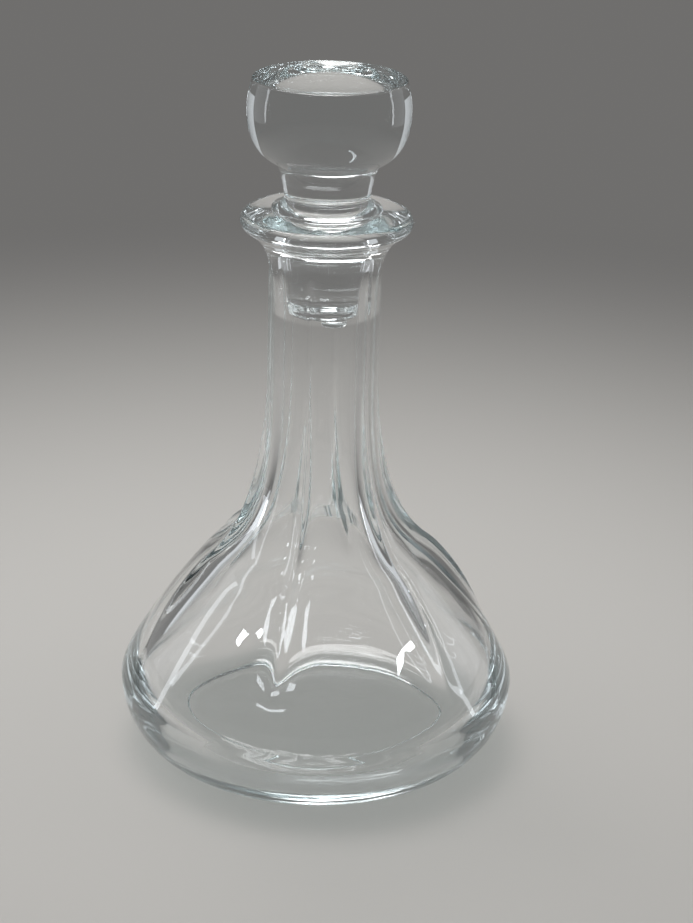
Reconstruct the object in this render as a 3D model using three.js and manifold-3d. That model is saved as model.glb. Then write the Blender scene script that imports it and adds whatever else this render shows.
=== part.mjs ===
// A clear glass decanter: a low, wide bottle with six ribs, a long neck and a flat lip, and a lift-out stopper.
// Millimetres, +Z up. The origin is on the axis, in the plane that the foot stands on.
// The front, as photographed, faces -Y.
import * as THREE from 'three';
import { mergeVertices } from 'three/addons/utils/BufferGeometryUtils.js';
import Module from 'manifold-3d';

const { degToRad, euclideanModulo, lerp, smoothstep } = THREE.MathUtils;

// Bottle, outside
const FOOT_RADIUS = 58.5; // outer edge of the flat ring that the bottle stands on
const FOOT_RING_WIDTH = 3;
const FOOT_STEP = 1.2; // height and width of the step inside that ring
const PUSH_UP = 2.5; // how far the underside rises inside the foot ring
const BODY_RADIUS = 80.1;
const BODY_WIDEST_Z = 28;
const BODY_TURN = 6.7; // short, so that the body turns in tightly above its widest height
const SHOULDER_RADIUS = 42.9; // where the body's curve gives way to the neck's sweep
const SHOULDER_Z = 83.2;
const SHOULDER_SLOPE = 1.4; // mm of radius lost for each mm of height there
const SHOULDER_TURN_BELOW = 5; // how far the curves keep to that slope
const SHOULDER_TURN_ABOVE = 12;
const NECK_RADIUS = 21.4;
const NECK_BOTTOM_Z = 155;
const NECK_TOP_Z = 195;
const NECK_SWEEP = 41; // height over which the neck's foot bends out
const LIP_SWEEP = 14; // and its top, under the lip
const LIP_RUN = 8; // how far in the lip's underside keeps its slope
const LIP_RADIUS = 33.2;
const LIP_TOP_Z = 223;
const LIP_THICKNESS = 6.2;
const LIP_EDGE_DEPTH = 2.5; // how far the rounded edge of the lip reaches in
const LIP_EDGE_START = -60; // degrees round that edge, where the underside runs into it

// Bottle, inside
const FLOOR_Z = 9; // where the floor meets the inner heel
const FLOOR_RISE = 1; // the floor follows the push-up at the axis
const FLOOR_RADIUS = 54;
const CHAMBER_RADIUS = 72.6;
const CHAMBER_WIDEST_Z = 30;
const CHAMBER_TURN = 11;
const CHAMBER_SHOULDER_RADIUS = 33.4;
const CHAMBER_SHOULDER_Z = 84; // the inside falls at 45 degrees here
const CHAMBER_SHOULDER_TURN_BELOW = 19;
const CHAMBER_SHOULDER_TURN_ABOVE = 14;
const BORE_RADIUS = 15.4;
const BORE_SWEEP = 32;
const SOCKET_BOTTOM_Z = 183; // the mouth tapers down to the bore here
const MOUTH_RADIUS = 17.4;
const MOUTH_ROUNDING = 1.2;

// Ribs
const RIB_COUNT = 6;
const RIB_AZIMUTH = degToRad(-14); // of the front rib, from -Y towards +X
const RIB_WIDTH = degToRad(6); // a flank falls to a third over this angle, so a rib widens with the body
const RIB_CREST = 0.2; // rounding of the crest, as a share of that width
const RIB_HEIGHT_BODY = 4.5;
const RIB_HEIGHT_NECK = 1.3;
const RIB_NECK_Z = [95, 155]; // the ribs thin down to the neck between these heights
const RIB_FADE_Z = [36, 72]; // and die out on the body between these
const RIB_TOP_Z = 210;
const RIB_TOP_FADE = 15;

// Stopper
const SEAT_GAP = 0.3; // between the stopper's foot and the lip
const KNOB_TOP_Z = 275;
const KNOB_RIM_RADIUS = 29.3;
const KNOB_RADIUS = 31.1;
const KNOB_WIDEST_Z = 262;
const KNOB_TURN_BELOW = 8; // how far the knob's side stays upright
const KNOB_TURN_ABOVE = 7;
const KNOB_EDGE_RADIUS = 20; // where the knob ends in an edge above the waist
const KNOB_EDGE_Z = 242.6;
const KNOB_UNDERSIDE = 3; // the knob's underside leaves that edge at a low slope
const DISH_DEPTH = 5;
const DISH_FLATNESS = 0.55; // share of the dish's radius that is nearly flat
const RIM_ROUNDING = 0.9;
const WAIST_RADIUS = 16.5;
const WAIST_Z = 229.5;
const WAIST_FLARE = 0.8; // how far out the waist leans before it turns to the knob's edge
const WAIST_FLARE_DEPTH = 5; // and how far below that edge
const WAIST_FILLET = 3; // height of the fillet between the waist and the foot
const STOPPER_FOOT_RADIUS = 21.4;
const STOPPER_FOOT_EDGE = 1.1; // radius of the foot's rounded edge
const PLUG_TOP_RADIUS = 16.5;
const PLUG_TOP_Z = 220;
const PLUG_BOTTOM_RADIUS = 14.8;
const PLUG_BOTTOM_Z = 183.5;
const PLUG_ROUNDING = 3;
const GATE_RADIUS = 5.4; // the round mark left under the plug where the glass was fed in
const GATE_TAPER = 0.6;
const GATE_HEIGHT = 3.3;
const GATE_OFFSET = 5.7; // it sits off the axis
const GATE_AZIMUTH = degToRad(33); // and to this side, from -Y towards +X
const GATE_OVERLAP = 1; // it reaches this far up into the plug

// Facets
const BOTTLE_SEGMENTS = 60; // a multiple of the ribs
const RIB_CROWDING = 0.6; // how strongly the segments gather at the ribs
const STOPPER_SEGMENTS = 40;
const GATE_SEGMENTS = 20;

const point = (radius, z) => new THREE.Vector2(radius, z);
const line = (...points) => new THREE.LineCurve(...points);
const bend = (...points) => new THREE.QuadraticBezierCurve(...points);
const sweep = (...points) => new THREE.CubicBezierCurve(...points);

// An arc of an ellipse in the profile plane, with its angles in degrees from the outward direction.
function arc(radius, z, radiusX, radiusZ, from, to) {
  return new THREE.EllipseCurve(radius, z, radiusX, radiusZ, degToRad(from), degToRad(to), to < from);
}

// The points of several curves end to end, with each shared end kept once.
function profile(...parts) {
  const points = [];
  for (const [curve, steps] of parts) {
    const stretch = curve.getPoints(steps);
    points.push(...(points.length ? stretch.slice(1) : stretch));
  }
  return points;
}

// Turns a profile of (radius, height) points about +Z.
function turned(points, segments, start = 0) {
  return new THREE.LatheGeometry(points, segments, start).rotateX(Math.PI / 2);
}

// How far a rib stands out at a height.
function ribHeight(z) {
  const height = lerp(RIB_HEIGHT_BODY, RIB_HEIGHT_NECK, smoothstep(z, ...RIB_NECK_Z));
  return height * smoothstep(z, ...RIB_FADE_Z) * (1 - smoothstep(z, RIB_TOP_Z - RIB_TOP_FADE, RIB_TOP_Z));
}

// A rib's cross-section: a narrow crest with hollow flanks that die away on both sides.
function ribSection(across) {
  return Math.exp(RIB_CREST - Math.hypot(across, RIB_CREST));
}

// From the middle of the underside, round the heel and up the outside to the flat top of the lip.
function bottleOutside() {
  const ringInner = FOOT_RADIUS - FOOT_RING_WIDTH;
  const stepTop = point(ringInner - FOOT_STEP, FOOT_STEP);
  const widest = point(BODY_RADIUS, BODY_WIDEST_Z);
  const shoulder = point(SHOULDER_RADIUS, SHOULDER_Z);
  const upSlope = point(-SHOULDER_SLOPE, 1);
  const neckBottom = point(NECK_RADIUS, NECK_BOTTOM_Z);
  const neckTop = point(NECK_RADIUS, NECK_TOP_Z);
  const lipMiddle = LIP_TOP_Z - LIP_THICKNESS / 2;
  const lipFlat = LIP_RADIUS - LIP_EDGE_DEPTH;
  const lipEdge = arc(lipFlat, lipMiddle, LIP_EDGE_DEPTH, LIP_THICKNESS / 2, LIP_EDGE_START, 90);
  const lipStart = lipEdge.getPoint(0);
  return profile(
    [bend(point(0, PUSH_UP), point(ringInner / 2, PUSH_UP), stepTop), 3],
    [line(stepTop, point(ringInner, 0)), 1],
    [line(point(ringInner, 0), point(FOOT_RADIUS, 0)), 1],
    [arc(FOOT_RADIUS, BODY_WIDEST_Z, BODY_RADIUS - FOOT_RADIUS, BODY_WIDEST_Z, -90, 0), 7],
    [sweep(
      widest,
      point(BODY_RADIUS, BODY_WIDEST_Z + BODY_TURN),
      shoulder.clone().addScaledVector(upSlope, -SHOULDER_TURN_BELOW),
      shoulder), 8],
    [sweep(
      shoulder,
      shoulder.clone().addScaledVector(upSlope, SHOULDER_TURN_ABOVE),
      point(NECK_RADIUS, NECK_BOTTOM_Z - NECK_SWEEP),
      neckBottom), 7],
    [line(neckBottom, neckTop), 2],
    [sweep(
      neckTop,
      point(NECK_RADIUS, NECK_TOP_Z + LIP_SWEEP),
      lipStart.clone().addScaledVector(lipEdge.getTangent(0), -LIP_RUN),
      lipStart), 6],
    [lipEdge, 5],
  );
}

// On from there: across the lip, down the neck and the chamber to the middle of the floor.
function bottleInside() {
  const mouthEdge = MOUTH_RADIUS + MOUTH_ROUNDING;
  const mouth = point(MOUTH_RADIUS, LIP_TOP_Z - MOUTH_ROUNDING);
  const boreTop = point(BORE_RADIUS, SOCKET_BOTTOM_Z);
  const boreBottom = point(BORE_RADIUS, NECK_BOTTOM_Z);
  const shoulder = point(CHAMBER_SHOULDER_RADIUS, CHAMBER_SHOULDER_Z);
  const downSlope = point(1, -1);
  const heelWidth = CHAMBER_RADIUS - FLOOR_RADIUS;
  const floorTop = FLOOR_Z + FLOOR_RISE;
  return profile(
    [line(point(LIP_RADIUS - LIP_EDGE_DEPTH, LIP_TOP_Z), point(mouthEdge, LIP_TOP_Z)), 1],
    [arc(mouthEdge, LIP_TOP_Z - MOUTH_ROUNDING, MOUTH_ROUNDING, MOUTH_ROUNDING, 90, 180), 2],
    [line(mouth, boreTop), 1],
    [line(boreTop, boreBottom), 1],
    [sweep(
      boreBottom,
      point(BORE_RADIUS, NECK_BOTTOM_Z - BORE_SWEEP),
      shoulder.clone().addScaledVector(downSlope, -CHAMBER_SHOULDER_TURN_ABOVE),
      shoulder), 6],
    [sweep(
      shoulder,
      shoulder.clone().addScaledVector(downSlope, CHAMBER_SHOULDER_TURN_BELOW),
      point(CHAMBER_RADIUS, CHAMBER_WIDEST_Z + CHAMBER_TURN),
      point(CHAMBER_RADIUS, CHAMBER_WIDEST_Z)), 7],
    [arc(FLOOR_RADIUS, CHAMBER_WIDEST_Z, heelWidth, CHAMBER_WIDEST_Z - FLOOR_Z, 0, -90), 5],
    [bend(point(FLOOR_RADIUS, FLOOR_Z), point(FLOOR_RADIUS / 2, floorTop), point(0, floorTop)), 3],
  );
}

// The bottle: both profiles in one turn, with the outside lifted into ribs and the segments gathered there.
function bottle() {
  const outside = bottleOutside();
  const points = [...outside, ...bottleInside().slice(1)];
  const geometry = turned(points, BOTTLE_SEGMENTS, RIB_AZIMUTH);
  const position = geometry.attributes.position;
  const halfPitch = Math.PI / RIB_COUNT;
  for (let k = 0; k < position.count; k++) {
    const row = k % points.length;
    const { x: radius, y: z } = points[row];
    const turn = 2 * Math.PI * Math.floor(k / points.length) / BOTTLE_SEGMENTS;
    const fromFrontRib = turn - RIB_CROWDING / RIB_COUNT * Math.sin(RIB_COUNT * turn);
    const across = (euclideanModulo(fromFrontRib + halfPitch, 2 * halfPitch) - halfPitch) / RIB_WIDTH;
    const lift = row < outside.length ? ribHeight(z) * ribSection(across) : 0;
    const azimuth = RIB_AZIMUTH + fromFrontRib;
    position.setXYZ(k, (radius + lift) * Math.sin(azimuth), -(radius + lift) * Math.cos(azimuth), z);
  }
  return geometry;
}

// The stopper without its gate mark, from the plug's underside up the outside to the middle of the dish.
function stopperBody() {
  const footZ = LIP_TOP_Z + SEAT_GAP;
  const plugFlat = PLUG_BOTTOM_RADIUS - PLUG_ROUNDING;
  const plugSide = point(PLUG_BOTTOM_RADIUS, PLUG_BOTTOM_Z + PLUG_ROUNDING);
  const plugTop = point(PLUG_TOP_RADIUS, PLUG_TOP_Z);
  const plugRoot = point(PLUG_TOP_RADIUS, footZ);
  const footFlat = STOPPER_FOOT_RADIUS - STOPPER_FOOT_EDGE;
  const footEdge = arc(footFlat, footZ + STOPPER_FOOT_EDGE, STOPPER_FOOT_EDGE, STOPPER_FOOT_EDGE, -90, 70);
  const waist = point(WAIST_RADIUS, WAIST_Z);
  const edge = point(KNOB_EDGE_RADIUS, KNOB_EDGE_Z);
  const widest = point(KNOB_RADIUS, KNOB_WIDEST_Z);
  const rimStart = point(KNOB_RIM_RADIUS, KNOB_TOP_Z - RIM_ROUNDING);
  const rimFlat = KNOB_RIM_RADIUS - RIM_ROUNDING;
  const rim = arc(rimFlat, KNOB_TOP_Z - RIM_ROUNDING, RIM_ROUNDING, RIM_ROUNDING, 0, 120);
  const dishEdge = rim.getPoint(1);
  const dishZ = KNOB_TOP_Z - DISH_DEPTH;
  return turned(profile(
    [line(point(0, PLUG_BOTTOM_Z), point(plugFlat, PLUG_BOTTOM_Z)), 1],
    [arc(plugFlat, PLUG_BOTTOM_Z + PLUG_ROUNDING, PLUG_ROUNDING, PLUG_ROUNDING, -90, 0), 3],
    [line(plugSide, plugTop), 1],
    [line(plugTop, plugRoot), 1],
    [line(plugRoot, point(footFlat, footZ)), 1],
    [footEdge, 3],
    [bend(footEdge.getPoint(1), point(WAIST_RADIUS, footZ + WAIST_FILLET), waist), 4],
    [bend(waist, point(WAIST_RADIUS + WAIST_FLARE, KNOB_EDGE_Z - WAIST_FLARE_DEPTH), edge), 3],
    [sweep(
      edge,
      point(KNOB_RADIUS - KNOB_UNDERSIDE, KNOB_EDGE_Z + KNOB_UNDERSIDE),
      point(KNOB_RADIUS, KNOB_WIDEST_Z - KNOB_TURN_BELOW),
      widest), 6],
    [bend(widest, point(KNOB_RADIUS, KNOB_WIDEST_Z + KNOB_TURN_ABOVE), rimStart), 3],
    [rim, 3],
    [bend(dishEdge, point(dishEdge.x * DISH_FLATNESS, dishZ), point(0, dishZ)), 5],
  ), STOPPER_SEGMENTS);
}

function gateMark() {
  const height = GATE_HEIGHT + GATE_OVERLAP;
  return new THREE.CylinderGeometry(GATE_RADIUS, GATE_RADIUS - GATE_TAPER, height, GATE_SEGMENTS)
    .rotateX(Math.PI / 2)
    .translate(0, -GATE_OFFSET, PLUG_BOTTOM_Z + GATE_OVERLAP - height / 2)
    .rotateZ(GATE_AZIMUTH);
}

// A geometry as a closed solid, for joining.
function solid(wasm, geometry) {
  const bare = geometry.clone();
  bare.deleteAttribute('normal');
  bare.deleteAttribute('uv');
  const merged = mergeVertices(bare, 1e-4);
  const triangles = [];
  for (let k = 0; k < merged.index.count; k += 3) {
    const corners = [0, 1, 2].map((step) => merged.index.getX(k + step));
    if (new Set(corners).size === 3) triangles.push(...corners);
  }
  return new wasm.Manifold(new wasm.Mesh({
    numProp: 3,
    vertProperties: new Float32Array(merged.attributes.position.array),
    triVerts: new Uint32Array(triangles),
  }));
}

function joined(wasm, ...geometries) {
  const mesh = geometries.map((geometry) => solid(wasm, geometry)).reduce((a, b) => a.add(b)).getMesh();
  const geometry = new THREE.BufferGeometry();
  geometry.setAttribute('position', new THREE.BufferAttribute(new Float32Array(mesh.vertProperties), 3));
  geometry.setIndex(new THREE.BufferAttribute(new Uint32Array(mesh.triVerts), 1));
  geometry.computeVertexNormals();
  return geometry;
}

function piece(name, geometry) {
  const glass = new THREE.MeshStandardMaterial({
    color: 0xf1f6f7, roughness: 0.04, metalness: 0, transparent: true, opacity: 0.35,
  });
  const mesh = new THREE.Mesh(geometry, glass);
  mesh.name = name;
  return mesh;
}

const wasm = await Module();
wasm.setup();

const decanter = new THREE.Group();
decanter.name = 'decanter';
decanter.add(piece('bottle', bottle()));
decanter.add(piece('stopper', joined(wasm, stopperBody(), gateMark())));

export default decanter;
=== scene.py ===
# %% [markdown]
# # A glass decanter
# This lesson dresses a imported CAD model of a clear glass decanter: a ribbed bottle with a long neck, and
# a solid stopper that lifts out. The CAD solids are faceted, and glass shows every facet, so both pieces
# are modelled again here with fine, smooth walls in exactly the same place. The file is read from the
# top, one cell at a time.

# %% Load the frame
import math

import bpy
from mathutils import Euler, Matrix, Vector


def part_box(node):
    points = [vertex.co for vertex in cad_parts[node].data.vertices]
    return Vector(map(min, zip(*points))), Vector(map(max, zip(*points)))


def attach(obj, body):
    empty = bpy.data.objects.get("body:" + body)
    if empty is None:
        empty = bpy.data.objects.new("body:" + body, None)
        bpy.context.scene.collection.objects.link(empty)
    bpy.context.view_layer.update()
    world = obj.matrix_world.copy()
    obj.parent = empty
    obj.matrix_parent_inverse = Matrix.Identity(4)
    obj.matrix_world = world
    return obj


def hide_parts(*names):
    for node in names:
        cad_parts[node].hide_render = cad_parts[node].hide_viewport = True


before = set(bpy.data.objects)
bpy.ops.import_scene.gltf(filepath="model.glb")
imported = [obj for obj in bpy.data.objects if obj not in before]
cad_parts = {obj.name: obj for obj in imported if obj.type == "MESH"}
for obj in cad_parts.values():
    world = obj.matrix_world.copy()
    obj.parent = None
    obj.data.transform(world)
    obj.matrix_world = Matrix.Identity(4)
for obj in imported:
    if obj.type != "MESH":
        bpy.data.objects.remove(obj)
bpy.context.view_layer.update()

MM = 0.001  # sizes below are written in millimetres and used in metres
bottle_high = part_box("bottle")[1]
stopper_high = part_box("stopper")[1]
print("bottle stands", round(bottle_high.z / MM, 1), "mm tall")
print("stopper tops out at", round(stopper_high.z / MM, 1), "mm")

# %% [markdown]
# The camera comes first, so that every later step can be judged from the right place. It stands in front
# of the bottle and looks down on it, far enough away for a long lens. Its pitch, a small turn and a
# slight roll were found by lining up the bottle's round levels, from the foot to the rim of the stopper.

# %% Camera
IMAGE_WIDTH = 693  # pixels
FOCAL_LENGTH = 2309  # pixels
CAMERA_PLACE = (0.0, -0.850, 0.471)
CAMERA_PITCH = math.radians(22.42)  # down
CAMERA_YAW = math.radians(0.683)  # towards +X
CAMERA_ROLL = math.radians(1.63)

bpy.ops.object.select_all(action="DESELECT")
bpy.ops.object.camera_add(location=CAMERA_PLACE)
camera = bpy.context.object
camera.data.sensor_fit = "HORIZONTAL"
camera.data.lens = FOCAL_LENGTH / IMAGE_WIDTH * camera.data.sensor_width
aim = Euler((math.pi / 2 - CAMERA_PITCH, 0, -CAMERA_YAW)).to_matrix()
camera.rotation_euler = (aim @ Matrix.Rotation(CAMERA_ROLL, 3, "Z")).to_euler()
bpy.context.scene.camera = camera
print("lens", round(camera.data.lens, 1), "mm")

# %% [markdown]
# Both pieces are round, so each one is an outline turned about the axis. An outline is drawn as a Bezier
# curve in the XZ plane: every knot has a place and two handles, and a knot without handles is a corner. A
# quarter of a circle or an ellipse needs handles of 0.5523 times its radius. The curve becomes a mesh
# line, and Spin sweeps that line round. A Screw modifier could do the same, but Spin leaves plain
# geometry that can be reshaped straight away.

# %% Outline helpers
QUARTER = 0.5523  # handle length of a quarter round, as a share of its radius
STEPS = 12  # mesh edges between two knots
SEGMENTS = 360  # round the axis, a multiple of the ribs
SAME_PLACE = 0.001 * MM  # points closer than this are merged


def knot(radius, z, before=(0, 0), after=(0, 0)):
    """A knot of an outline in mm, with the offsets of its two handles, outwards and upwards."""
    place = Vector((radius, 0, z)) * MM
    handle_before = place + Vector((before[0], 0, before[1])) * MM
    handle_after = place + Vector((after[0], 0, after[1])) * MM
    return place, handle_before, handle_after


def draw_outline(name, knots):
    """Draws the knots as one Bezier curve and turns it into a line of mesh edges."""
    bpy.ops.object.select_all(action="DESELECT")
    bpy.ops.curve.primitive_bezier_curve_add()
    outline = bpy.context.object
    outline.name = outline.data.name = name
    outline.data.dimensions = "3D"
    outline.data.resolution_u = STEPS
    points = outline.data.splines[0].bezier_points
    points.add(len(knots) - len(points))
    for point, (place, before, after) in zip(points, knots):
        point.handle_left_type = point.handle_right_type = "FREE"
        point.co = place
        point.handle_left = before
        point.handle_right = after
    bpy.ops.object.convert(target="MESH")
    print(name, "outline has", len(outline.data.vertices), "points from", len(knots), "knots")
    return outline


def turn_round(outline):
    """Spins the outline once about +Z and closes the seam and the two poles."""
    bpy.ops.object.mode_set(mode="EDIT")
    bpy.ops.mesh.select_all(action="SELECT")
    bpy.ops.mesh.spin(steps=SEGMENTS, angle=2 * math.pi, center=(0, 0, 0), axis=(0, 0, 1))
    bpy.ops.mesh.select_all(action="SELECT")
    bpy.ops.mesh.remove_doubles(threshold=SAME_PLACE)
    bpy.ops.mesh.normals_make_consistent(inside=False)
    bpy.ops.object.mode_set(mode="OBJECT")
    bpy.ops.object.shade_smooth()
    print(outline.name, "has", len(outline.data.polygons), "faces")


# %% [markdown]
# The bottle's wall is one outline. Its first half starts in the middle of the underside, drops over a
# small step to the flat ring that the bottle stands on, and runs round the heel and up the outside to the
# lip. At the shoulder the curve changes from bulging to hollow, so a knot with a sloping pair of handles
# stands there.

# %% Bottle outside
FOOT_RADIUS = 58.5
RING_INNER_RADIUS = 55.5  # the foot is a flat ring, and the glass rises a little inside it
RING_STEP = 1.2  # the ring's inner edge drops this far
RING_BEND = 0.6  # handle length of that step's small hollow
RING_LEAN = 0.1  # and how far the handles lean
PUSH_UP = 2.5
BODY_RADIUS = bottle_high.y / MM
BODY_WIDEST_Z = 28
BODY_TURN = 6.7  # short, so that the body turns in tightly above its widest height
SHOULDER_RADIUS = 42.9
SHOULDER_Z = 83.2
SHOULDER_SLOPE = 1.4  # mm of radius lost for each mm of height
SHOULDER_TURN_BELOW = 5  # how far the curves keep to that slope
SHOULDER_TURN_ABOVE = 12
NECK_RADIUS = 21.4
NECK_BOTTOM_Z = 155
NECK_TOP_Z = 195
NECK_SWEEP = 41  # handle where the neck bends out into the shoulder
LIP_SWEEP = 14  # and where it bends out under the lip
LIP_TOP_Z = bottle_high.z / MM
LIP_RADIUS = 33.2
LIP_EDGE = (2.5, 3.1)  # half axes of the lip's rounded edge
LIP_EDGE_START = (0.5, 0.866)  # cosine and sine of 60 degrees, where the underside runs into that edge
LIP_RUN = (6.5, 4.66)  # how far in the underside keeps its slope
LIP_BEND = (0.77, 0.55)  # handle where the edge begins
LIP_RISE = 1.11  # and where it is upright

heel = BODY_RADIUS - FOOT_RADIUS
lip_flat = LIP_RADIUS - LIP_EDGE[0]
lip_middle = LIP_TOP_Z - LIP_EDGE[1]
outside = [
    knot(0, PUSH_UP, after=(RING_INNER_RADIUS / 3, 0)),
    knot(
        RING_INNER_RADIUS - RING_STEP, RING_STEP,
        before=(-RING_INNER_RADIUS / 3, PUSH_UP / 3), after=(RING_BEND, -RING_LEAN)),
    knot(RING_INNER_RADIUS, 0, before=(-RING_LEAN, RING_BEND)),
    knot(FOOT_RADIUS, 0, after=(QUARTER * heel, 0)),
    knot(BODY_RADIUS, BODY_WIDEST_Z, before=(0, -QUARTER * BODY_WIDEST_Z), after=(0, BODY_TURN)),
    knot(
        SHOULDER_RADIUS, SHOULDER_Z,
        before=(SHOULDER_TURN_BELOW * SHOULDER_SLOPE, -SHOULDER_TURN_BELOW),
        after=(-SHOULDER_TURN_ABOVE * SHOULDER_SLOPE, SHOULDER_TURN_ABOVE)),
    knot(NECK_RADIUS, NECK_BOTTOM_Z, before=(0, -NECK_SWEEP)),
    knot(NECK_RADIUS, NECK_TOP_Z, after=(0, LIP_SWEEP)),
    knot(
        lip_flat + LIP_EDGE_START[0] * LIP_EDGE[0], lip_middle - LIP_EDGE_START[1] * LIP_EDGE[1],
        before=(-LIP_RUN[0], -LIP_RUN[1]), after=LIP_BEND),
    knot(LIP_RADIUS, lip_middle, before=(0, -LIP_RISE), after=(0, QUARTER * LIP_EDGE[1])),
    knot(lip_flat, LIP_TOP_Z, before=(QUARTER * LIP_EDGE[0], 0)),
]
print("the outside has", len(outside), "knots")

# %% [markdown]
# The second half goes over the mouth's rounded rim and down the inside: a socket that tapers for the
# plug, the bore, the chamber and the floor. The glass is thick: about 6 mm in the neck, 4 to 6 mm in the
# shoulder and 8 to 9 mm in the heel. That thickness bends the light and gives the bottle its dark and
# bright lines, so the inside is drawn as carefully as the outside.

# %% Bottle inside
MOUTH_RADIUS = 17.4
MOUTH_ROUNDING = 1.2
SOCKET_BOTTOM_Z = 183  # the mouth tapers down to the bore here
BORE_RADIUS = 15.4
BORE_SWEEP = 32  # handle where the bore bends out into the chamber
CHAMBER_SHOULDER_RADIUS = 33.4
CHAMBER_SHOULDER_Z = 84  # the inside falls at 45 degrees here
CHAMBER_SHOULDER_TURN_ABOVE = 14
CHAMBER_SHOULDER_TURN_BELOW = 19
CHAMBER_RADIUS = 72.6
CHAMBER_WIDEST_Z = 30
CHAMBER_TURN = 11
FLOOR_RADIUS = 54
FLOOR_Z = 9
FLOOR_RISE = 1  # the floor follows the push-up at the axis

inner_heel = CHAMBER_RADIUS - FLOOR_RADIUS
inside = [
    knot(MOUTH_RADIUS + MOUTH_ROUNDING, LIP_TOP_Z, after=(-QUARTER * MOUTH_ROUNDING, 0)),
    knot(MOUTH_RADIUS, LIP_TOP_Z - MOUTH_ROUNDING, before=(0, QUARTER * MOUTH_ROUNDING)),
    knot(BORE_RADIUS, SOCKET_BOTTOM_Z),
    knot(BORE_RADIUS, NECK_BOTTOM_Z, after=(0, -BORE_SWEEP)),
    knot(
        CHAMBER_SHOULDER_RADIUS, CHAMBER_SHOULDER_Z,
        before=(-CHAMBER_SHOULDER_TURN_ABOVE, CHAMBER_SHOULDER_TURN_ABOVE),
        after=(CHAMBER_SHOULDER_TURN_BELOW, -CHAMBER_SHOULDER_TURN_BELOW)),
    knot(
        CHAMBER_RADIUS, CHAMBER_WIDEST_Z,
        before=(0, CHAMBER_TURN), after=(0, -QUARTER * (CHAMBER_WIDEST_Z - FLOOR_Z))),
    knot(
        FLOOR_RADIUS, FLOOR_Z,
        before=(QUARTER * inner_heel, 0), after=(-FLOOR_RADIUS / 3, FLOOR_RISE * 2 / 3)),
    knot(0, FLOOR_Z + FLOOR_RISE, before=(FLOOR_RADIUS / 3, 0)),
]
bottle = draw_outline("bottle_wall", outside + inside)

# %% [markdown]
# The ribs will lift only the outside, so the outline's points are sorted into a vertex group before it is
# spun: Spin copies the group with the points. The curve gave each stretch between two knots the same
# number of points, so the outside is simply the first part of the line.

# %% Mark the outside
outer_group = bottle.vertex_groups.new(name="outside")
outer_group.add(list(range((len(outside) - 1) * STEPS + 1)), 1.0, "REPLACE")
turn_round(bottle)

# %% [markdown]
# Six ribs start under the lip, run down the neck, swell over the shoulder and die out above the widest
# part of the body. Each has a narrow crest and hollow flanks. By hand this would be proportional editing
# along six edge loops. Here a formula gives a rib's height at every place: a section across it, times a
# height that changes along it, faded in and out at both ends, so that the ribs blend into the wall with
# no seam.

# %% Rib shape
RIB_COUNT = 6
RIB_WIDTH = math.radians(6)  # a flank falls to 0.44 of the height over this angle
RIB_CREST = 0.2  # rounding of the crest, as a share of that width
RIB_HEIGHT_BODY = 4.5
RIB_HEIGHT_NECK = 1.3
RIB_NECK_Z = (95, 155)  # the ribs thin down to the neck between these heights
RIB_FADE_Z = (36, 72)  # die out on the body between these
RIB_TOP_Z = (195, 210)  # and under the lip between these


def smooth_step(value, low, high):
    """0 below low, 1 above high, and an easy curve between them."""
    share = min(max((value - low) / (high - low), 0), 1)
    return share * share * (3 - 2 * share)


def rib_lift(from_crest, z):
    """How far the outside stands out, in mm, at an angle from a rib's crest and a height in mm."""
    pitch = 2 * math.pi / RIB_COUNT
    across = ((from_crest + pitch / 2) % pitch - pitch / 2) / RIB_WIDTH
    section = math.exp(RIB_CREST - math.hypot(across, RIB_CREST))
    thin = smooth_step(z, *RIB_NECK_Z)
    height = RIB_HEIGHT_BODY + (RIB_HEIGHT_NECK - RIB_HEIGHT_BODY) * thin
    return height * section * smooth_step(z, *RIB_FADE_Z) * (1 - smooth_step(z, *RIB_TOP_Z))


print("a rib's crest stands", round(rib_lift(0, SHOULDER_Z), 1), "mm out on the shoulder")

# %% [markdown]
# Now every point of the outside is pushed straight out from the axis by that height. A sharp crest needs
# points where it is sharp, so the columns of points, inside and outside alike, are first turned and
# gathered: one column lies along each crest, and its neighbours are close to it.

# %% Raise the ribs
RIB_AZIMUTH = math.radians(-14)  # of the front rib, from -Y towards +X
RIB_CROWDING = 0.5  # how strongly the columns gather at the crests
COUNTED_LIFT = 0.01 * MM

lifted = 0
for vertex in bottle.data.vertices:
    radius = vertex.co.xy.length
    turn = math.atan2(vertex.co.y, vertex.co.x)
    from_crest = turn - RIB_CROWDING / RIB_COUNT * math.sin(RIB_COUNT * turn)
    if vertex.groups and radius > 0:
        lift = rib_lift(from_crest, vertex.co.z / MM) * MM
        radius += lift
        lifted += lift > COUNTED_LIFT
    azimuth = RIB_AZIMUTH + from_crest
    vertex.co.xy = radius * math.sin(azimuth), -radius * math.cos(azimuth)
print("the ribs lift", lifted, "points")

# %% [markdown]
# The stopper is one solid casting: a dished knob, a waist, a foot that rests on the lip, and a tapered
# plug that hangs in the neck with a little air round it. Its outline starts under the plug, goes up the
# outside and ends in the middle of the dish. Where a knot has two free handles, they are given as a pair,
# the one before it first.

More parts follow.
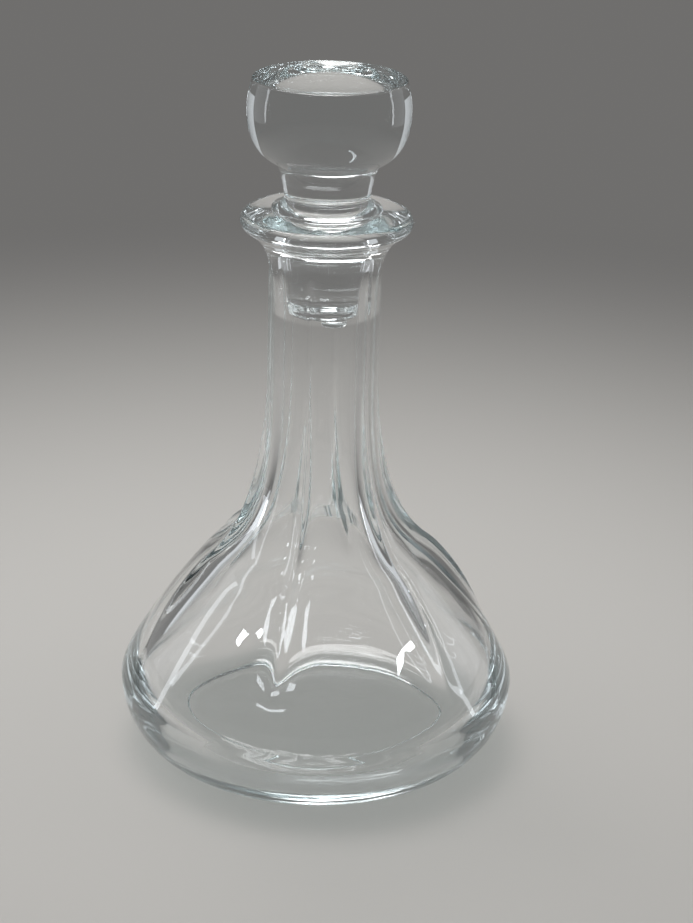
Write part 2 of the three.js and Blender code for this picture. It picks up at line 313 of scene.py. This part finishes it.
# %% Stopper outline
SEAT_GAP = 0.3  # between the stopper's foot and the lip
FOOT_Z = LIP_TOP_Z + SEAT_GAP
PLUG_BOTTOM_Z = 183.5
PLUG_BOTTOM_RADIUS = 14.8
PLUG_ROUNDING = 3
PLUG_TOP_Z = 220
PLUG_TOP_RADIUS = 16.5
STOPPER_FOOT_RADIUS = 21.4
FOOT_EDGE = 1.1
FOOT_EDGE_RISE = 0.46  # handle where the foot's edge is upright
FOOT_TOP = (0.38, 2.13)  # where that edge runs into the foot's top, from the corner of its flat
FOOT_TOP_HANDLES = ((0.43, -0.16), (-2.78, 0.58))
WAIST_RADIUS = 16.5
WAIST_Z = 229.5
WAIST_HANDLES = ((0, -2.13), (0.53, 5.4))
KNOB_EDGE = (20, 242.6)  # where the knob's underside meets the waist
KNOB_EDGE_HANDLES = ((-1.8, -3.33), (8.1, 3))
KNOB_RADIUS = 31.1
KNOB_WIDEST_Z = 262
KNOB_HANDLES = ((0, -8), (0, 4.67))
KNOB_TOP_Z = stopper_high.z / MM
RIM_RADIUS = 29.3
RIM_ROUNDING = 0.9
RIM_HANDLES = ((1.2, -3.4), (0, 0.69))
RIM_CREST = (-1.35, 0.78)  # the rim's inner edge, from where its side ends
RIM_CREST_HANDLES = ((0.6, 0.35), (-8.4, -3.25))
DISH_DEPTH = 5
DISH_SWEEP = 10.2  # handle of the dish, level at the axis

foot_flat = STOPPER_FOOT_RADIUS - FOOT_EDGE
rim_z = KNOB_TOP_Z - RIM_ROUNDING
stopper = draw_outline("stopper_body", [
    knot(0, PLUG_BOTTOM_Z),
    knot(PLUG_BOTTOM_RADIUS - PLUG_ROUNDING, PLUG_BOTTOM_Z, after=(QUARTER * PLUG_ROUNDING, 0)),
    knot(PLUG_BOTTOM_RADIUS, PLUG_BOTTOM_Z + PLUG_ROUNDING, before=(0, -QUARTER * PLUG_ROUNDING)),
    knot(PLUG_TOP_RADIUS, PLUG_TOP_Z),
    knot(PLUG_TOP_RADIUS, FOOT_Z),
    knot(foot_flat, FOOT_Z, after=(QUARTER * FOOT_EDGE, 0)),
    knot(
        STOPPER_FOOT_RADIUS, FOOT_Z + FOOT_EDGE,
        before=(0, -QUARTER * FOOT_EDGE), after=(0, FOOT_EDGE_RISE)),
    knot(foot_flat + FOOT_TOP[0], FOOT_Z + FOOT_TOP[1], *FOOT_TOP_HANDLES),
    knot(WAIST_RADIUS, WAIST_Z, *WAIST_HANDLES),
    knot(*KNOB_EDGE, *KNOB_EDGE_HANDLES),
    knot(KNOB_RADIUS, KNOB_WIDEST_Z, *KNOB_HANDLES),
    knot(RIM_RADIUS, rim_z, *RIM_HANDLES),
    knot(RIM_RADIUS + RIM_CREST[0], rim_z + RIM_CREST[1], *RIM_CREST_HANDLES),
    knot(0, KNOB_TOP_Z - DISH_DEPTH, before=(DISH_SWEEP, 0)),
])
turn_round(stopper)

# %% [markdown]
# Under the plug is a low round mark, a little off the axis, where the hot glass was fed into the mould.
# It is a short cylinder with a bevelled edge, joined to the plug with a Boolean modifier, so that the
# glass is one body.

# %% Gate mark
GATE_RADIUS = 5.4
GATE_HEIGHT = 3.3
GATE_OFFSET = 5.7
GATE_AZIMUTH = math.radians(33)  # from -Y towards +X
GATE_OVERLAP = 1  # it reaches this far up into the plug
GATE_SEGMENTS = 48
GATE_BEVEL = 0.6
GATE_BEVEL_STEPS = 4

bpy.ops.object.select_all(action="DESELECT")
bpy.ops.mesh.primitive_cylinder_add(
    vertices=GATE_SEGMENTS, radius=GATE_RADIUS * MM, depth=(GATE_HEIGHT + GATE_OVERLAP) * MM,
    location=(
        GATE_OFFSET * math.sin(GATE_AZIMUTH) * MM,
        -GATE_OFFSET * math.cos(GATE_AZIMUTH) * MM,
        (PLUG_BOTTOM_Z + (GATE_OVERLAP - GATE_HEIGHT) / 2) * MM))
gate = bpy.context.object
bpy.ops.object.transform_apply(location=True)
bpy.ops.object.modifier_add(type="BEVEL")
gate.modifiers["Bevel"].width = GATE_BEVEL * MM
gate.modifiers["Bevel"].segments = GATE_BEVEL_STEPS
bpy.ops.object.modifier_apply(modifier="Bevel")
print("gate mark has", len(gate.data.polygons), "faces")

# %% [markdown]
# The join leaves hard corners round the mark. Shading by angle keeps the plug and the knob smooth, and
# lets an edge that turns by more than the angle stay crisp.

# %% Join the gate mark
CRISP_ANGLE = math.radians(40)

bpy.ops.object.select_all(action="DESELECT")
bpy.context.view_layer.objects.active = stopper
stopper.select_set(True)
bpy.ops.object.modifier_add(type="BOOLEAN")
stopper.modifiers["Boolean"].operation = "UNION"
stopper.modifiers["Boolean"].object = gate
bpy.ops.object.modifier_apply(modifier="Boolean")
bpy.data.objects.remove(gate)
bpy.ops.object.shade_smooth_by_angle(angle=CRISP_ANGLE)
print("stopper has", len(stopper.data.polygons), "faces with its gate mark")

# %% [markdown]
# Clear glass is a Principled BSDF with full transmission. Real moulded glass is never perfectly even: the
# surface swims a little, in waves that are drawn out along the axis, and hands leave faint smears. Both
# come from one node group that the two glasses share, so that each material can have its own strength: it
# puts out a roughness and a height for a Bump node.

# %% Glass surface group
WAVE_STRETCH = (1, 1, 0.3)  # below 1 along Z, so the waves are longer that way
SMEAR_RANGE = (0.5, 0.8)  # the noise values where a smear starts and is at its full strength


def link(tree, source, target):
    """Joins two sockets of a node tree."""
    tree.links.new(source, target)


def make_glass_surface():
    """A node group with the slow waves and faint smears of moulded glass."""
    tree = bpy.data.node_groups.new("glass surface", "ShaderNodeTree")
    for label in ("Wave Scale", "Smear Scale", "Smear Roughness"):
        tree.interface.new_socket(label, in_out="INPUT", socket_type="NodeSocketFloat")
    for label in ("Roughness", "Height"):
        tree.interface.new_socket(label, in_out="OUTPUT", socket_type="NodeSocketFloat")
    start = tree.nodes.new("NodeGroupInput")
    end = tree.nodes.new("NodeGroupOutput")
    place = tree.nodes.new("ShaderNodeTexCoord")
    stretch = tree.nodes.new("ShaderNodeVectorMath")
    stretch.operation = "MULTIPLY"
    stretch.inputs[1].default_value = WAVE_STRETCH
    waves = tree.nodes.new("ShaderNodeTexNoise")
    waves.inputs["Detail"].default_value = 1.0
    smears = tree.nodes.new("ShaderNodeTexNoise")
    smears.inputs["Detail"].default_value = 4.0
    smears.inputs["Distortion"].default_value = 1.5
    patches = tree.nodes.new("ShaderNodeMapRange")
    patches.inputs["From Min"].default_value = SMEAR_RANGE[0]
    patches.inputs["From Max"].default_value = SMEAR_RANGE[1]
    link(tree, place.outputs["Object"], stretch.inputs[0])
    link(tree, stretch.outputs["Vector"], waves.inputs["Vector"])
    link(tree, start.outputs["Wave Scale"], waves.inputs["Scale"])
    link(tree, place.outputs["Object"], smears.inputs["Vector"])
    link(tree, start.outputs["Smear Scale"], smears.inputs["Scale"])
    link(tree, smears.outputs["Fac"], patches.inputs["Value"])
    link(tree, start.outputs["Smear Roughness"], patches.inputs["To Max"])
    link(tree, patches.outputs["Result"], end.inputs["Roughness"])
    link(tree, waves.outputs["Fac"], end.inputs["Height"])
    print("glass surface group has", len(tree.nodes), "nodes")
    return tree


glass_surface = make_glass_surface()

# %% [markdown]
# The bottle and the stopper are the same clear glass, made in two moulds. The waves in the bottle's wall
# are three times as deep as the stopper's. A very thin volume absorption gives long paths through the
# glass a cool hint, as at the edge of a window pane.
#
# Cycles finds a lamp through bent glass only by chance, so the shadow would be dark, with bright specks.
# For two kinds of ray the glass is therefore a plain, slightly grey Transparent BSDF: shadow rays, which
# look for a lamp, and diffuse rays, which the floor sends out to see what lights it. Each kind has its
# own Mix Shader, switched by Light Path. The bright patterns that real glass throws on a table are given
# up for a clean, soft shadow.

# %% Glass materials
GLASS_IOR = 1.5
WAVE_SCALE = 60.0
SMEAR_SCALE = 18.0
PASS_THROUGH = (0.88, 0.89, 0.89, 1)  # what one surface lets through to the floor
PANE_TINT = (0.80, 0.93, 0.95, 1)
PANE_DENSITY = 4.0


def make_glass(name, wave_depth, smear_roughness):
    """Clear glass with its own waves and smears."""
    material = bpy.data.materials.new(name)
    material.use_nodes = True
    tree = material.node_tree
    output = tree.nodes["Material Output"]
    glass = tree.nodes["Principled BSDF"]
    glass.inputs["Base Color"].default_value = (1, 1, 1, 1)
    glass.inputs["Transmission Weight"].default_value = 1.0
    glass.inputs["IOR"].default_value = GLASS_IOR
    surface = tree.nodes.new("ShaderNodeGroup")
    surface.node_tree = glass_surface
    surface.inputs["Wave Scale"].default_value = WAVE_SCALE
    surface.inputs["Smear Scale"].default_value = SMEAR_SCALE
    surface.inputs["Smear Roughness"].default_value = smear_roughness
    bump = tree.nodes.new("ShaderNodeBump")
    bump.inputs["Distance"].default_value = wave_depth
    ray = tree.nodes.new("ShaderNodeLightPath")
    clear = tree.nodes.new("ShaderNodeBsdfTransparent")
    clear.inputs["Color"].default_value = PASS_THROUGH
    let_lamps_through = tree.nodes.new("ShaderNodeMixShader")
    let_floor_see = tree.nodes.new("ShaderNodeMixShader")
    absorption = tree.nodes.new("ShaderNodeVolumeAbsorption")
    absorption.inputs["Color"].default_value = PANE_TINT
    absorption.inputs["Density"].default_value = PANE_DENSITY
    link(tree, surface.outputs["Roughness"], glass.inputs["Roughness"])
    link(tree, surface.outputs["Height"], bump.inputs["Height"])
    link(tree, bump.outputs["Normal"], glass.inputs["Normal"])
    link(tree, ray.outputs["Is Shadow Ray"], let_lamps_through.inputs["Fac"])
    link(tree, glass.outputs["BSDF"], let_lamps_through.inputs[1])
    link(tree, clear.outputs["BSDF"], let_lamps_through.inputs[2])
    link(tree, ray.outputs["Is Diffuse Ray"], let_floor_see.inputs["Fac"])
    link(tree, let_lamps_through.outputs["Shader"], let_floor_see.inputs[1])
    link(tree, clear.outputs["BSDF"], let_floor_see.inputs[2])
    link(tree, let_floor_see.outputs["Shader"], output.inputs["Surface"])
    link(tree, absorption.outputs["Volume"], output.inputs["Volume"])
    print("made", name)
    return material


bottle.data.materials.append(make_glass("bottle_glass", wave_depth=0.12 * MM, smear_roughness=0.03))
stopper.data.materials.append(make_glass("stopper_glass", wave_depth=0.04 * MM, smear_roughness=0.02))

# %% [markdown]
# Each piece now takes the place of its CAD solid: it rides on the same body and hides the solid. The
# stopper then lifts out of the bottle as its joint moves.

# %% Join the pieces to the frame
for piece, body in ((bottle, "bottle"), (stopper, "stopper")):
    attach(piece, body)
    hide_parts(body)
    print(piece.name, "rides on", body)

# %% [markdown]
# Glass has no colour of its own, so the room is what it shows. The floor is one large plane, which lies a
# hair below the foot: where glass and floor share one plane, Cycles can't tell which comes first.

# %% Floor
FLOOR_SIZE = 16.0
FLOOR_DROP = 0.3 * MM  # keeps the floor just clear of the foot

bpy.ops.object.select_all(action="DESELECT")
bpy.ops.mesh.primitive_plane_add(size=FLOOR_SIZE)
floor = bpy.context.object
floor.name = "floor"
bpy.ops.object.mode_set(mode="EDIT")
bpy.ops.transform.translate(value=(0, 0, -FLOOR_DROP))
bpy.ops.object.mode_set(mode="OBJECT")
print("floor is", FLOOR_SIZE, "m wide")

# %% [markdown]
# The floor is plain and pale round the decanter, where it takes the shadow. Further out it passes softly
# into an even grey, a painted falloff of light like the light on a studio's paper sweep dropping off away
# from the lamps. The grey is an Emission shader, so it is the same however far away it is, and the bright
# highlights stand out against it.

# %% Floor paint
PALE = (0.58, 0.565, 0.54, 1)
PALE_ROUGHNESS = 0.7
BACKDROP = (0.16, 0.157, 0.153, 1)
# painted pool of light: the lamp-lit pale floor fades into the painted grey between these distances
PAINTED_POOL_REACH = (0.15, 0.75)  # m from the axis, from all pale to all grey

floor_paint = bpy.data.materials.new("pale_floor")
floor_paint.use_nodes = True
floor_tree = floor_paint.node_tree
paint = floor_tree.nodes["Principled BSDF"]
paint.inputs["Base Color"].default_value = PALE
paint.inputs["Roughness"].default_value = PALE_ROUGHNESS
floor_place = floor_tree.nodes.new("ShaderNodeTexCoord")
distance = floor_tree.nodes.new("ShaderNodeVectorMath")
distance.operation = "LENGTH"
# the painted pool of light, pale near the axis and painted grey further out
painted_light_pool = floor_tree.nodes.new("ShaderNodeMapRange")
painted_light_pool.interpolation_type = "SMOOTHSTEP"
painted_light_pool.inputs["From Min"].default_value = PAINTED_POOL_REACH[0]
painted_light_pool.inputs["From Max"].default_value = PAINTED_POOL_REACH[1]
# painted darker grey, which stands in for light falling off far from the lamps
painted_falloff_grey = floor_tree.nodes.new("ShaderNodeEmission")
painted_falloff_grey.inputs["Color"].default_value = BACKDROP
shade = floor_tree.nodes.new("ShaderNodeMixShader")
link(floor_tree, floor_place.outputs["Object"], distance.inputs[0])
link(floor_tree, distance.outputs["Value"], painted_light_pool.inputs["Value"])
link(floor_tree, painted_light_pool.outputs["Result"], shade.inputs["Fac"])
link(floor_tree, paint.outputs["BSDF"], shade.inputs[1])
link(floor_tree, painted_falloff_grey.outputs["Emission"], shade.inputs[2])
link(floor_tree, shade.outputs["Shader"], floor_tree.nodes["Material Output"].inputs["Surface"])
floor.data.materials.append(floor_paint)
print("floor is pale to", PAINTED_POOL_REACH[0], "m and grey from", PAINTED_POOL_REACH[1], "m")

# %% [markdown]
# A large soft box hangs overhead and a little behind, so that the shadow falls forward. Glass is mostly
# drawn by what it mirrors and bends, so each side has a wide, dim card and a narrow, brighter strip: the
# thick edges of the neck and the heel pick them up.

# %% Light
COOL = (0.90, 0.95, 1.0)
WHITE = (1, 1, 1)
LOW_AIM = (0, 0, 0.12)  # where the shoulder runs up into the neck
HIGH_AIM = (0, 0, 0.2)  # near the top of the neck
OVERHEAD_PLACE = (-0.15, 0.3, 1.2)
OVERHEAD_SIZE = (0.7, 0.7)
OVERHEAD_POWER = 11.0
SIDE_REACH = 0.8
CARD_PLACE_YZ = (0.3, 0.35)
CARD_SIZE = (0.5, 0.7)
CARD_POWER = 0.55
STRIP_PLACE_YZ = (0.1, 0.35)
STRIP_SIZE = (0.05, 0.6)
STRIP_POWER = 0.4


def soft_box(name, place, target, size, power, tint):
    """A rectangular lamp that faces a target, and that the camera doesn't see."""
    bpy.ops.object.light_add(type="AREA", location=place)
    lamp = bpy.context.object
    lamp.name = name
    lamp.data.shape = "RECTANGLE"
    lamp.data.size, lamp.data.size_y = size
    lamp.data.energy = power
    lamp.data.color = tint
    lamp.rotation_euler = (Vector(target) - Vector(place)).to_track_quat("-Z", "Y").to_euler()
    lamp.visible_camera = False
    print(name, "gives", power, "W")
    return lamp


soft_box("overhead_box", OVERHEAD_PLACE, LOW_AIM, OVERHEAD_SIZE, OVERHEAD_POWER, WHITE)
for side, x in (("left", -SIDE_REACH), ("right", SIDE_REACH)):
    soft_box(side + "_card", (x, *CARD_PLACE_YZ), HIGH_AIM, CARD_SIZE, CARD_POWER, COOL)
    soft_box(side + "_strip", (x, *STRIP_PLACE_YZ), HIGH_AIM, STRIP_SIZE, STRIP_POWER, COOL)

# %% [markdown]
# Small bright lamps give the sharp glints. They stand far off and all round, so that every side of the
# glass has some, and they don't light the floor, which would otherwise show one shadow for each. Nor do
# they show through the glass, where the thick knob would scatter them into glitter: they are there for
# their mirror images. Three wide lamps, dimmer for their size, stand in the directions that the front
# rib's crest mirrors to the camera. The spots and streaks that they draw by the rib come mostly from the
# smooth inner wall, seen through the rib's flanks, so these three stay visible through the glass.

# %% Glints
GLINT_DISTANCE = 1.3
GLINT_SIZE = (0.06, 0.05)
GLINT_POWER = 0.35
GLINTS = ((-70, 30), (-32, 48), (-20, 30), (59, 29), (66, 45), (140, 35), (-140, 35))
RIB_GLINT_SIZE = (0.2, 0.06)
RIB_GLINT_POWER = 0.4
RIB_GLINTS = ((-30, 30), (-33, 43), (-37, 54))


def add_glint(azimuth, elevation, size, power):
    """A lamp in a direction in degrees, counted from the front towards the right and upwards."""
    across = math.cos(math.radians(elevation)) * GLINT_DISTANCE
    place = Vector(LOW_AIM) + Vector((
        across * math.sin(math.radians(azimuth)),
        -across * math.cos(math.radians(azimuth)),
        GLINT_DISTANCE * math.sin(math.radians(elevation))))
    lamp = soft_box(f"glint_{azimuth % 360}_{elevation}", place, LOW_AIM, size, power, COOL)
    lamp.visible_diffuse = False
    return lamp


for azimuth, elevation in GLINTS:
    add_glint(azimuth, elevation, GLINT_SIZE, GLINT_POWER).visible_transmission = False
for azimuth, elevation in RIB_GLINTS:
    add_glint(azimuth, elevation, RIB_GLINT_SIZE, RIB_GLINT_POWER)

# %% [markdown]
# The room behind the lamps has the same even grey as the far floor, so the horizon leaves no line in the
# glass. The Standard view adds no film look of its own.

# %% Room and view
world = bpy.data.worlds.new("studio")
world.use_nodes = True
world.node_tree.nodes["Background"].inputs["Color"].default_value = BACKDROP
bpy.context.scene.world = world
bpy.context.scene.view_settings.view_transform = "Standard"
print("the view is", bpy.context.scene.view_settings.view_transform)

# %% [markdown]
# A ray that enters thick glass is turned back many times before it finds its way out. If it is cut off
# early, that place renders black, so the light paths may be long.

# %% Light paths
paths = bpy.context.scene.cycles
paths.max_bounces = 32
paths.glossy_bounces = 24
paths.transmission_bounces = 24
print("a ray may be turned", paths.max_bounces, "times")
